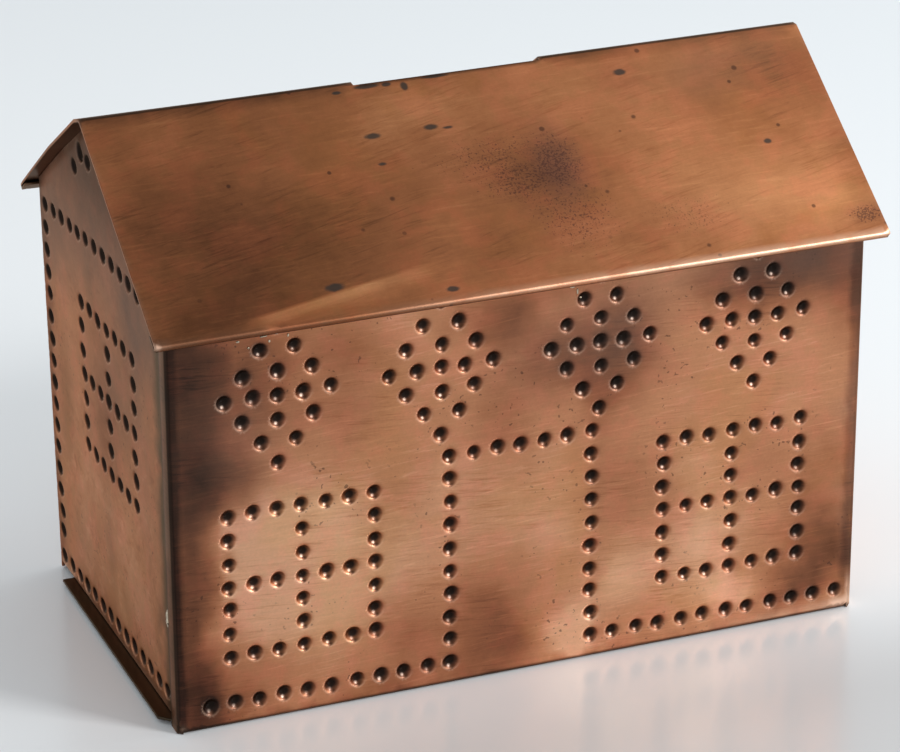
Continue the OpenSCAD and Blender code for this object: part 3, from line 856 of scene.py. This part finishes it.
def gable_tone(seed, edge=0.9):
    def tone(u, v, xyz):
        a, b = ragged(u, v, seed)
        # darker and greyer towards the top: painted shadow under the roof's overhang; a little lighter low down
        patina = 0.30 - 0.05 * smooth(-b, -50, -20) + 0.06 * field(a, b, 17, seed) + 0.3 * smooth(b, 78, 96)
        patina += blobs(a, b, GABLE_PATINA)
        haze = 0.02 + 0.66 * smooth(b + 0.25 * np.abs(a), 66, 84) + blobs(a, b, GABLE_HAZE)
        olive = edge * smooth(-a, 26.5, 31) + blobs(a, b, GABLE_OLIVE)
        foot = bell(v, 1.9, 0.9) * (np.abs(u) < 37)
        # a painted shadow line on the gable just behind the free edge of the front wall's flange
        shadow_gap = 0.9 * bell(u + D / 2 - FLANGE, 1.1, 1.15, 6) * smooth(field(v, u * 0.3, 3, seed), -0.35, 0.0)
        return np.clip(patina, 0, 0.95), np.clip(haze, 0, 0.85), np.clip(olive, 0, 0.9), 0.4 * foot, shadow_gap * (v < 82)
    return tone


gable_lines = fold_lines([BEND_Y + BO * a for a in QUARTER]
                         + [FLANGE - D / 2 + d for d in (-0.2, 0.3, 0.8, 1.3, 1.7, 2.0, 2.3, 2.7, 3.4)], 2.5, 81.5)
gable_copper = copper("gable_copper", (260, 420, 520), "X", 20, extra=specks, strength=0.5, roughness=0.38, coat=0.08,
                      tint=(0.76, 0.6, 0.5), dark=(2.1, 1.12), painted_glint_most=0.25)
sheet("left_gable_sheet", gable_outline(), place_gable(-1), gable_tone(5.5), "left_gable",
      gable_copper, struck(left_marks(), 1.24), lines=gable_lines, wave=gable_wave(2.5))
foot_y = (-D / 2 + RUN + CLEAR, BACK - RUN - CLEAR)
gable_lines += fold_lines([BO - BO * a for a in np.linspace(0.2, math.pi / 2, 5)], *foot_y, upright=False)
sheet("right_gable_sheet", gable_outline(foot_y), place_gable(1, foot_y), gable_tone(11.5, 0.4), "right_gable",
      gable_copper, struck(gable_marks()), lines=gable_lines, wave=gable_wave(7.5))

# ---- Roof ----
ROOF_PATINA = [
    (-60, -20, 16, 9, 0.16), (-42, -27, 18, 7, 0.14), (-60, -38, 16, 8, 0.16), (-10, -36, 14, 5, 0.08),
    (11, -23, 8, 7, 0.2), (30, -7, 9, 4, 0.05), (64, -9, 8, 6, 0.18), (47, -12, 6, 5, 0.06), (70, -39.5, 3, 2.5, 0.1),
    (-11, -7, 9, 4, -0.14), (52, -32, 14, 8, -0.14), (66, -35, 6, 5, -0.14), (27, -37, 8, 4, 0.08),
    (-25, -14, 10, 5, -0.03), (-62, -6, 12, 7, -0.07), (6, -20, 10, 6, 0.05), (-8, -30, 10, 6, 0.05)]
ROOF_HAZE = [(50, -7, 9, 5, 0.3), (62, -5, 8, 4, 0.2), (33, -7, 6, 5, 0.12)]


def crease_v(u):
    """How far down the front slope its crease runs, above the eave on the left."""
    return 48.7 - (u + 53.6) * 0.162


def roof_wave(u, v):
    a, crease = abs(v), crease_v(u)
    fade = unit((a - 1.5) / 6) * unit((EAVE_V - 0.5 - a) / 3) * unit((ROOF_X - abs(u)) / 4)
    h = 0.22 * noise.noise((u / 45, v / 28, 3.1)) + 0.05 * noise.noise((u / 14, v / 12, 6.4)) - 0.1
    wide = EAVE_V - crease
    if v < 0 and u < -6 and wide > 0:
        lift = 0.05 * wide * smooth(-u, 6, 20) * smooth(u, -72, -62)
        past = a - crease
        h += lift * (max(0, 1 - past / wide) if past > 0 else math.exp(-(past / 9) ** 2)) / max(fade, 0.3)
    return fade * h


def roof_tone(u, v, xyz):
    right, down = xyz[:, 0], np.abs(v)
    x, y = ragged(right, xyz[:, 1], 1.3, 3.0)
    front = smooth(-y, -2, 2)
    patina = 0.40 + 0.04 * field(x, y, 24, 2.3) + 0.05 * (1 - front) + 0.1 * front * smooth(-x, -10, 60)
    patina += front * blobs(x, y, ROOF_PATINA)
    patina += (1 - front) * (0.12 + 0.16 * field(x, y, 24, 7.7))
    ridge = bell(down, 0, 0.75, 4)
    chips = bell(v, 1.0, 1.1) * smooth(field(right, v, 2.2, 5.1), 0.05, 0.3)
    patina += 0.6 * ridge + 0.4 * chips * (0.4 + 0.6 * bell(right, -12, 16))
    # the bent strip just below the crease is made lighter, a painted highlight, and the band just above the crease
    # slightly darker
    crease = down - crease_v(u)
    facet_highlight = smooth(crease, -0.5, 0.3) * bell(np.maximum(crease - 0.6, 0), 0, 1.9)
    facet_highlight = facet_highlight * smooth(u, -57, -49) * (0.5 + 0.5 * smooth(-u, 24, 32)) * smooth(-u, 12, 26)
    patina += front * (0.05 * bell(crease, -2, 2.2) * smooth(-u, 20, 34) - 0.34 * facet_highlight)
    # painted shade on the left part of the hem's fold, which dims the highlight there
    patina += front * 0.16 * bell(down - EAVE_V, 0.6, 0.7) * smooth(-x, -5, 30)
    under = smooth(down, EAVE_V + HR * 1.35, EAVE_V + HR * 2.2)
    patina = patina * (1 - under) + 0.85 * under
    haze = front * blobs(x, y, ROOF_HAZE) + 0.3 * ridge
    # painted highlight along the fold of the front hem, faint on the left and brightest on the right; then a bright
    # spot at the hem's front left corner
    wear_and_highlight = 0.85 * bell(down - EAVE_V, 0.42, 0.5) * (0.05 + 0.95 * smooth(right, -40, 30))
    wear_and_highlight += blobs(right, v, [(-72.6, -EAVE_V - 0.4, 0.7, 0.6, 0.9)])
    slot_edge = bell(v, -1.0, 0.45) * (right > SLOT_X[0]) * (right < SLOT_X[1])
    return np.clip(patina, 0, 1), np.clip(haze, 0, 0.6), 0.35 * under, np.clip(wear_and_highlight, 0, 1), 0.85 * slot_edge


# dark stains: where, half sizes
ROOF_SPOTS = [((-19.5, -10.8, 102.4), (1.6, 0.75, 0.6)), ((-7.8, -10.6, 102.5), (1.35, 0.7, 0.6)),
              ((-4.6, -11.1, 102.2), (1.1, 0.35, 0.35)), ((-19.6, -16.2, 98.8), (0.9, 0.45, 0.4)),
              ((-37.1, -37.2, 84.6), (1.8, 0.95, 0.75)), ((-15.4, -40.6, 82.3), (1.3, 0.6, 0.6)),
              ((33.1, -5.3, 106.1), (1.3, 0.75, 0.65)), ((56.7, -22.3, 94.6), (0.8, 0.6, 0.5)),
              ((-17.2, -1.4, 108.7), (2.4, 0.55, 0.45)), ((-13.2, -1.5, 108.6), (0.9, 0.5, 0.4)),
              ((-9.9, -2.3, 108.1), (0.7, 1.1, 0.8)), ((-3.4, -1.2, 108.8), (2.6, 0.4, 0.35)),
              ((-23.3, -1.9, 108.4), (0.9, 0.4, 0.35))]
# clusters of pits: where, half sizes, how dense
PITTED = (((13.5, -20.5, 95.7), (6, 8, 6.5), 1.0), ((6.5, -22.5, 94.5), (11, 6.5, 5.5), 0.9),
          ((2, -18, 97.5), (14, 7, 6), 0.74), ((13, -30.5, 89), (10, 12, 9), 0.76),
          ((34, -34, 86.8), (11, 6, 5), 0.64), ((70, -38.6, 83.6), (3.8, 2.6, 2.4), 1.05))


def roof_look(n, colour):
    """A warmer tint, dark stains, clusters of fine corrosion pits, and a scatter of single ones."""
    stained = functools.reduce(n.most, [n.spot(at, size) for at, size in ROOF_SPOTS])
    colour = n.mix(n.mul(stained, 0.88), n.tinted(colour, (1.0, 0.96, 0.80)), (0.05, 0.046, 0.04))
    dense = n.noise(2300, 2, 0.7)
    mask = functools.reduce(n.most, [n.mul(n.spot(at, size, 0.8), most) for at, size, most in PITTED])
    many = n.mul(n.span(n.sub(dense, n.mad(mask, -0.34, 0.80)), -0.01, 0.09), n.span(mask, 0.02, 0.2))
    middle = n.spot((13.8, -20.5, 95.7), (4, 8.5, 7), 0.9)
    colour = n.mix(n.mul(mask, 0.1), colour, (0.09, 0.05, 0.045))
    colour = n.mix(n.mul(middle, 0.3), colour, (0.12, 0.062, 0.058))
    colour = n.mix(n.mul(many, 0.66), colour, (0.085, 0.036, 0.028))
    for scale, size, share in ((150, 0.075, 0.62), (310, 0.11, 0.8)):
        cell = n.node("TexVoronoi", Vector=n.moved(0.2, 0.1, 0.3 + share), Scale=scale).outputs
        some = n.mul(n.span(cell["Distance"], size * 1.5, size * 0.8), n.span(cell["Color"], share, share + 0.03))
        colour = n.mix(n.mul(some, 0.7), colour, (0.07, 0.03, 0.02))
    return colour


def roof_lines():
    at = [s * RO * a for s in (-1, 1) for a in np.linspace(0.12, TILT, 4)] + [0.0]
    at += [s * (EAVE_V + HR * a) for s in (-1, 1) for a in np.linspace(0, math.pi, 9)]
    along = [-56 + 1.3 * i for i in range(33)]
    creased = [(u, -(crease_v(u) + d)) for u in along for d in (-0.5, 0.3, 1.2, 2.3)]
    return (fold_lines(at, -ROOF_X + 0.4, ROOF_X - 0.4, 2.0, False)
            + [(u, v) for u, v in creased if -v < EAVE_V - 0.4])


slot_v = [float(on_roof_v(y)) for y in SLOT_Y]
slot_hole = [(SLOT_X[i], slot_v[j]) for i, j in ((0, 0), (0, 1), (1, 1), (1, 0))]
sheet("roof_sheet", [(-ROOF_X, -ROOF_V), (ROOF_X, -ROOF_V), (ROOF_X, ROOF_V), (-ROOF_X, ROOF_V)], place_roof,
      roof_tone, "roof",
      copper("roof_copper", (170, 2600, 300), "Z", 7, extra=roof_look, strength=0.45, inner=(0.075, 0.052, 0.042)),
      holes=[slot_hole], lines=roof_lines(), grid=2.2, wave=roof_wave, worn_edge=0.15)

# ---- Sliding bottom ----
PLATE_LEFT, CUT = -72, 1.8  # the plate's left end, and how much is cut off its front corner
plate_front, plate_back, plate_right = -D / 2 + FLANGE + CLEAR, BACK - T - CLEAR, SIDE - T - CLEAR
plate_outline = [(PLATE_LEFT, plate_front + CUT), (PLATE_LEFT + CUT, plate_front), (plate_right, plate_front),
                 (plate_right, plate_back), (T - SIDE, plate_back), (T - SIDE, D / 2 - 9), (PLATE_LEFT, D / 2 - 9)]


def plate_tone(u, v, xyz):
    n1 = field(u, v, 15, 6.6)
    patina = np.clip(0.88 + 0.1 * n1 - 0.4 * smooth(u, -60, -30), 0, 1)
    return patina, 0 * u, np.clip(0.7 + 0.15 * n1, 0, 1), 0 * u, 0.25 * smooth(-u, 60, 68)


sheet("bottom_sheet", plate_outline, place_plate, plate_tone, "bottom_plate",
      copper("bottom_copper", (170, 2600, 300), "Z", 2, strength=0.5, roughness=0.4), grid=3.0, body="bottom",
      worn_edge=0.0)

# ---- Solder ----
SOLDER = solder_material()


def wrapped(base, rows, ring):
    """Faces between rows of points, each row a closed ring."""
    return [(a, b, b + ring, a + ring) for i in range(rows - 1)
            for a, b in sides([base + i * ring + k for k in range(ring)])]


def sweep(name, node, runs, extra=()):
    """One piece of solder from several runs: (points, across, out, half widths, heights, seed), a low dome each."""
    verts, faces = [], []
    arc = 9  # points over the dome; two more close it below
    ring = arc + 2
    for points, across, out, widths, heights, seed in runs:
        across, out = Vector(across).normalized(), Vector(out).normalized()
        base = len(verts)
        for i, (p, w, h) in enumerate(zip(points, widths, heights)):
            lump = 1 + 0.28 * noise.noise((i * 0.45, seed, 0.3))
            for k in range(arc):
                a = math.pi * k / (arc - 1)
                s = lump * (1 + 0.16 * noise.noise((i * 0.6, k * 0.7, seed + 2)))
                verts.append(Vector(p) + across * (w * s * math.cos(a)) + out * (h * s * math.sin(a)))
            verts += [Vector(p) + across * (w * side) - out * 0.04 for side in (-0.9, 0.9)]
        first = range(base, base + ring)
        faces += wrapped(base, len(points), ring)
        faces += [tuple(first)[::-1], tuple(k + (len(points) - 1) * ring for k in first)]
    for more_verts, more_faces in extra:
        base = len(verts)
        verts += more_verts
        faces += [tuple(base + i for i in f) for f in more_faces]
    mesh = bpy.data.meshes.new(name)
    mesh.from_pydata([tuple(v * MM) for v in verts], [], faces)
    mesh.shade_smooth()
    mesh.validate()
    bm = bmesh.new()
    bm.from_mesh(mesh)
    bmesh.ops.recalc_face_normals(bm, faces=bm.faces)
    bm.to_mesh(mesh)
    bm.free()
    add_piece(name, mesh, "shell", node, SOLDER)


def spaced(low, length, n):
    return [low + length * i / (n - 1) for i in range(n)]


def taper(n, full, tip=0.12):
    return [full * (tip + (1 - tip) * math.sin(math.pi * (i + 0.5) / n) ** 0.6) for i in range(n)]


SEAM_DROPS = ((22.6, 5.0, 0.7, 0.98), (47, 4, 0.35, 0.28), (64, 4, 0.4, 0.32))  # middle, length, width, height


def seam(side, sign, back):
    """Solder beside a flange: a thin line from foot to eave, and a few drops that stand out."""
    across, out = ((1, 0, 0), (0, 1, 0)) if back else ((0, 1, 0), (sign, 0, 0))

    def run(zs, off, lift):
        if back:
            lean = [float(splay(40, z)) if sign < 0 else 0.0 for z in zs]
            return [(sign * (SIDE - FLANGE + off + a), BACK + lift, z) for a, z in zip(lean, zs)]
        return [(sign * (SIDE + lift), -D / 2 + FLANGE - off, z) for z in zs]

    runs = []
    for k, (mid, long, wide, fat) in enumerate(SEAM_DROPS):
        n = int(long * 2.5)
        runs.append((run(spaced(mid - long / 2, long, n), -0.12, 0), across, out, taper(n, wide), taper(n, fat),
                     k + (3.1 if back else 7.3) * sign))
    runs.append((run(spaced(4, 74, 51), 1.3, 0.02), across, out, [1.1] * 51, [0.05] * 51, 0.4))
    name = ("back_" if back else "front_") + side
    sweep("seam_solder_" + name, "solder_" + name, runs)


SIDES = (("left", -1), ("right", 1))
for side, sign in SIDES:
    seam(side, sign, False)
    seam(side, sign, True)


def dome(at, sign, wide, high, fat, seed):
    """One drop of solder: a low uneven dome, as rows of rings from its rim to its top."""
    turns, rows = 14, 5
    verts = []
    for k in range(rows):
        a = math.pi / 2 * k / rows
        for j in range(turns):
            b = 2 * math.pi * j / turns
            r = math.cos(a) * (1 + 0.3 * noise.noise((math.cos(b) * 1.2, math.sin(b) * 1.2, seed)))
            out = fat * math.sin(a) * (1 + 0.3 * noise.noise((b, k, seed + 5))) - 0.03
            verts.append(at + Vector((wide * r * math.cos(b), sign * out, high * r * math.sin(b))))
    verts.append(at + Vector((0, sign * fat, 0)))
    last = [(rows - 1) * turns + j for j in range(turns)]
    faces = wrapped(0, rows, turns) + [(a, b, rows * turns) for a, b in sides(last)]
    return verts, [*faces, tuple(range(turns))[::-1]]


# drops under the eave: from the left, how far down, half width, half height, how thick
DROPS = ((-56.2, 5.4, 0.35, 0.22, 0.18), (-54.2, 6.9, 0.22, 0.25, 0.2), (-53.0, 4.7, 0.6, 0.25, 0.24),
         (-51.2, 5.1, 0.75, 0.2, 0.22), (-50.2, 6.2, 0.22, 0.3, 0.18), (-48.8, 4.9, 0.3, 0.2, 0.18),
         (-46.6, 5.6, 0.18, 0.35, 0.18), (9.2, 5.0, 0.5, 0.2, 0.2), (10.3, 6.0, 0.2, 0.6, 0.22),
         (10.9, 7.3, 0.25, 0.2, 0.18), (53.4, 4.7, 0.5, 0.25, 0.22))


def eave(side, face, sign, half_l):
    n = 120
    z = UNDER - face * TAN
    xs = spaced(-half_l, 2 * half_l, n)
    up = [float(raised(x, face)) if sign > 0 else 0.0 for x in xs]
    runs = [([(x, sign * (face + 0.12), z - 0.75 + 0.5 * r) for x, r in zip(xs, up)], (0, 0, 1), (0, sign, 0),
             [0.62 + 0.5 * r for r in up], [0.45] * n, 1.1 * sign)]
    drops = [dome(Vector((x, sign * face, z - down)), sign, wide, high, fat, k + 2.2 * sign)
             for k, (x, down, wide, high, fat) in enumerate(DROPS) if abs(x) + wide < half_l - 0.5]
    sweep("eave_solder_" + side, "solder_" + side + "_eave", runs, drops)


eave("front", D / 2, -1, BEND_X)
eave("back", BACK, 1, SIDE - FLANGE - 0.1)

for side, sign in SIDES:
    runs = []
    n = 60
    for way in (-1, 1):
        pts = [(sign * (SIDE - T - 0.3 + (float(splay(way * y, 80)) if sign < 0 else 0)), way * y,
                UNDER - y * TAN - 0.45 + (float(raised(-SIDE, y)) if (sign, way) == (-1, 1) else 0))
               for y in spaced(2.6, 32.2, n)]
        runs.append((pts, (0, way * SIN, COS), (-sign, 0, 0), [0.42] * n, [0.7] * n, way + 3.0 * sign))
    sweep("gable_solder_" + side, "solder_" + side + "_gable", runs)


# ---- Studio ----
def floor():
    mesh = bpy.data.meshes.new("floor")
    mesh.from_pydata([(-4, -4, 0), (4, -4, 0), (4, 4, 0), (-4, 4, 0)], [], [(0, 1, 2, 3)])
    n = Nodes(bpy.data.materials.new("floor"))
    x, y, _ = n.node("SeparateXYZ", Vector=n.coord).outputs
    # painted light in the floor's colour: darker in front of the box as a painted reflection of it, and darker far off
    # to the back right as painted shade
    near, far = n.mul(y, -1.0), n.mul(n.add(x, y), 0.7)
    pale = n.mix(n.span(far, 0.1, 0.5), (0.88, 0.90, 0.91), (0.72, 0.75, 0.77))
    n.surface(Base_Color=n.mix(n.span(near, 0.024, 0.074), pale, (0.585, 0.585, 0.585)), Roughness=0.22)
    mesh.materials.append(n.owner)
    add_object("floor", mesh)


def softbox(name, at, aim, size, radiance):
    light = bpy.data.lights.new(name, "AREA")
    light.shape, light.size, light.size_y = "RECTANGLE", size, size
    light.energy = radiance * math.pi * size * size
    obj = add_object(name, light)
    obj.location = at
    obj.rotation_euler = (Vector(aim) - Vector(at)).to_track_quat("-Z", "Y").to_euler()


def world():
    """Even light for the floor; what the metal mirrors is pale low down, dark overhead and lighter to the right."""
    bpy.context.scene.world = bpy.data.worlds.new("world")
    n = Nodes(bpy.context.scene.world)
    right, _, up = n.node("SeparateXYZ", Vector=n.places["Generated"]).outputs
    seen = n.add(n.span(up, 0.15, 0.92, 0.86, 0.14), n.span(right, 0.05, 0.65, 0.0, 0.75))
    path = n.node("LightPath").outputs
    shown = n.most(path["Is Camera Ray"], n.most(path["Is Glossy Ray"], path["Is Transmission Ray"]))
    n.surface(Color=(0.93, 0.97, 1.0), Strength=n.add(n.mul(seen, shown), n.mul(n.sub(1.0, shown), 0.70)))


floor()
world()
softbox("key", (0.78, -0.84, 0.76), (0, 0, 0.05), 0.3, 30)
softbox("side", (0.95, 0.15, 0.95), (0.05, 0, 0.05), 0.8, 1.3)

bpy.context.scene.view_settings.view_transform = "Standard"
